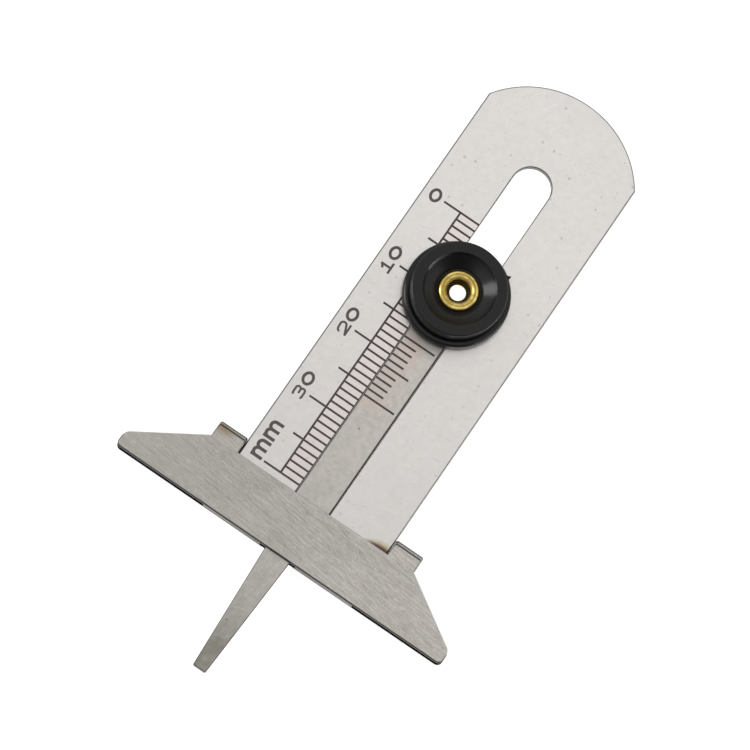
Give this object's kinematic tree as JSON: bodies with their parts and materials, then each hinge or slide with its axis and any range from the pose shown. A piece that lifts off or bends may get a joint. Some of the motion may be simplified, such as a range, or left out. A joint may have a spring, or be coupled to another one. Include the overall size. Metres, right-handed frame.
{
  "type": "vernier tread depth gauge",
  "caption": "Slotted steel scale plate with a folded foot; a knob slides the vernier strip and its probe down into a tyre groove to read its depth.",
  "frame": {"origin": "on the table, under the middle of the gauge at rest, with the gauge lying on its back", "axes": "+X along the foot to the right of the scale face, +Y up the gauge from the probe to the rounded end, +Z out of the scale face"},
  "size_m": [0.048, 0.0864, 0.0071],
  "materials": {
    "plate_steel": "satin stainless",
    "foot_steel": "brushed along the foot",
    "strip_steel": "satin stainless",
    "mark_fill": "dark matt fill",
    "rivet_brass": "polished",
    "washer_steel": "satin",
    "spring_steel": "satin",
    "knob_plastic": "glossy black"
  },
  "bodies": {
    "gauge_frame": {"scale_plate": "plate_steel", "foot": "foot_steel", "main_scale_marks": "mark_fill"},
    "slider": {"probe_slide": "strip_steel", "vernier_marks": "mark_fill", "eyelet": "rivet_brass", "rear_washer": "washer_steel", "spring_washer": "spring_steel"},
    "knob": {"thumb_knob": "knob_plastic"}
  },
  "joints": [
    {"name": "probe_travel", "type": "slide", "parent": "gauge_frame", "child": "slider", "axis": [0, -1, 0], "range_m": [-0.017, 0.025]},
    {"name": "knob_turn", "type": "hinge", "parent": "slider", "child": "knob", "pos_m": [0, 0.01325, 0.0049], "axis": [0, 0, 1], "continuous": true}
  ]
}
